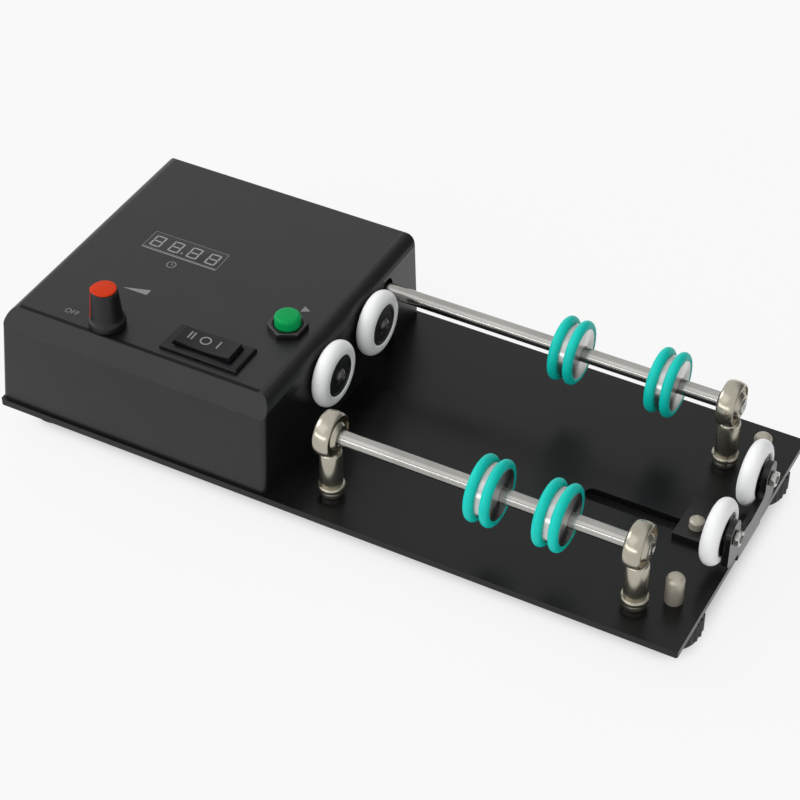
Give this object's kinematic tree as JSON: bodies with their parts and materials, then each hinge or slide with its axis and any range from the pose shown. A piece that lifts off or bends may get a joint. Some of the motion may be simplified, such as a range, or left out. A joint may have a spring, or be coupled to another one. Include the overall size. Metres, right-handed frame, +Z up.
{
  "type": "rotary film processor",
  "caption": "Table-top rotary film processor: driven and free roller shafts with rubber rings turn a developing tank between guide wheels, run from a control housing; the end bracket slides.",
  "frame": {"origin": "middle of the object's box at the level of its feet", "axes": "+X from the control housing to the end bracket, +Y to the back, +Z up"},
  "size_m": [0.2942, 0.127, 0.0733],
  "materials": {
    "plate_paint": "semi-gloss",
    "housing_plastic": "fine grain",
    "shaft_steel": "ground",
    "rod_end_steel": "satin nickel",
    "screw_steel": "bright",
    "nut_nickel": "satin nickel",
    "liner_bronze": "satin",
    "roller_aluminium": "turned",
    "ring_rubber": "satin",
    "tyre_nylon": "satin",
    "bearing_dark": "satin",
    "bracket_paint": "satin",
    "motor_steel": "satin",
    "foot_plastic": "matte",
    "display_glaze": "smoked",
    "switch_black": "satin",
    "button_green": "gloss",
    "knob_black": "satin",
    "knob_red": "satin",
    "board_green": "satin",
    "standoff_brass": "bright"
  },
  "bodies": {
    "frame": {"base_plate": "plate_paint", "control_housing": "housing_plastic", "housing_screws": "screw_steel", "rod_end_front_left": "rod_end_steel", "rod_end_front_right": "rod_end_steel", "rod_end_rear_right": "rod_end_steel", "rod_end_liners": "liner_bronze", "rod_end_bolts": "screw_steel", "time_display": "display_glaze", "rocker_frame": "switch_black", "push_button_body": "switch_black", "potentiometer": "motor_steel", "dc_inlet": "switch_black", "panel_nuts": "nut_nickel", "gear_motor": "motor_steel", "motor_bracket": "motor_steel", "motor_screws": "screw_steel", "control_board": "board_green", "board_standoffs": "standoff_brass", "housing_wheel_screws": "screw_steel", "housing_wheel_nuts": "screw_steel", "housing_wheel_spacers": "screw_steel", "fixed_feet": "foot_plastic"},
    "drive_line": {"drive_shaft": "shaft_steel", "motor_output_shaft": "shaft_steel", "shaft_coupling": "roller_aluminium", "drive_roller_inner": "roller_aluminium", "drive_roller_outer": "roller_aluminium", "drive_rings": "ring_rubber", "rod_end_ball_rear_right": "shaft_steel"},
    "idler_line": {"idler_shaft": "shaft_steel", "idler_roller_inner": "roller_aluminium", "idler_roller_outer": "roller_aluminium", "idler_rings": "ring_rubber", "rod_end_ball_front_left": "shaft_steel", "rod_end_ball_front_right": "shaft_steel"},
    "housing_wheel_front": {"housing_wheel_tyre_front": "tyre_nylon", "housing_wheel_bearing_front": "bearing_dark"},
    "housing_wheel_rear": {"housing_wheel_tyre_rear": "tyre_nylon", "housing_wheel_bearing_rear": "bearing_dark"},
    "bracket": {"end_bracket": "bracket_paint", "bracket_wheel_screws": "screw_steel", "bracket_wheel_nuts": "screw_steel", "bracket_wheel_spacers": "screw_steel"},
    "bracket_wheel_front": {"bracket_wheel_tyre_front": "tyre_nylon", "bracket_wheel_bearing_front": "bearing_dark"},
    "bracket_wheel_rear": {"bracket_wheel_tyre_rear": "tyre_nylon", "bracket_wheel_bearing_rear": "bearing_dark"},
    "clamp": {"clamp_screw": "screw_steel"},
    "knob": {"speed_knob": "knob_black", "speed_knob_cap": "knob_red", "potentiometer_shaft": "motor_steel"},
    "rocker": {"rocker_paddle": "switch_black"},
    "button": {"start_button": "button_green"},
    "foot_front": {"levelling_foot_front": "foot_plastic", "levelling_stud_front": "screw_steel"},
    "foot_rear": {"levelling_foot_rear": "foot_plastic", "levelling_stud_rear": "screw_steel"}
  },
  "joints": [
    {"name": "drive_shaft_spin", "type": "hinge", "parent": "frame", "child": "drive_line", "pos_m": [0, 0.0367, 0.045], "axis": [1, 0, 0], "continuous": true},
    {"name": "idler_shaft_spin", "type": "hinge", "parent": "frame", "child": "idler_line", "pos_m": [0, -0.049, 0.045], "axis": [1, 0, 0], "continuous": true},
    {"name": "housing_wheel_front_spin", "type": "hinge", "parent": "frame", "child": "housing_wheel_front", "pos_m": [-0.02251, -0.015, 0.0415], "axis": [1, 0, 0], "continuous": true},
    {"name": "housing_wheel_rear_spin", "type": "hinge", "parent": "frame", "child": "housing_wheel_rear", "pos_m": [-0.02251, 0.02, 0.0415], "axis": [1, 0, 0], "continuous": true},
    {"name": "bracket_slide", "type": "slide", "parent": "frame", "child": "bracket", "axis": [1, 0, 0], "range_m": [-0.03, 0]},
    {"name": "bracket_wheel_front_spin", "type": "hinge", "parent": "bracket", "child": "bracket_wheel_front", "pos_m": [0.138, -0.01775, 0.033], "axis": [1, 0, 0], "continuous": true},
    {"name": "bracket_wheel_rear_spin", "type": "hinge", "parent": "bracket", "child": "bracket_wheel_rear", "pos_m": [0.138, 0.01775, 0.033], "axis": [1, 0, 0], "continuous": true},
    {"name": "clamp_screw_turn", "type": "hinge", "parent": "bracket", "child": "clamp", "pos_m": [0.1249, -0.0035, 0.015], "axis": [0, 0, 1], "range_deg": [0, 360]},
    {"name": "speed_knob_turn", "type": "hinge", "parent": "frame", "child": "knob", "pos_m": [-0.1047, -0.0448, 0.0555], "axis": [0, 0, 1], "range_deg": [-270, 0]},
    {"name": "rocker_tilt", "type": "hinge", "parent": "frame", "child": "rocker", "pos_m": [-0.0628, -0.0395, 0.055], "axis": [0, 1, 0], "range_deg": [-10, 10]},
    {"name": "start_button_press", "type": "slide", "parent": "frame", "child": "button", "axis": [0, 0, -1], "range_m": [0, 0.0025], "stiffness_N_per_m": 400, "springref_m": -0.001},
    {"name": "levelling_foot_front_travel", "type": "slide", "parent": "frame", "child": "foot_front", "axis": [0, 0, 1], "range_m": [-0.005, 0.0012]},
    {"name": "levelling_foot_rear_travel", "type": "slide", "parent": "frame", "child": "foot_rear", "axis": [0, 0, 1], "range_m": [-0.005, 0.0012]}
  ]
}
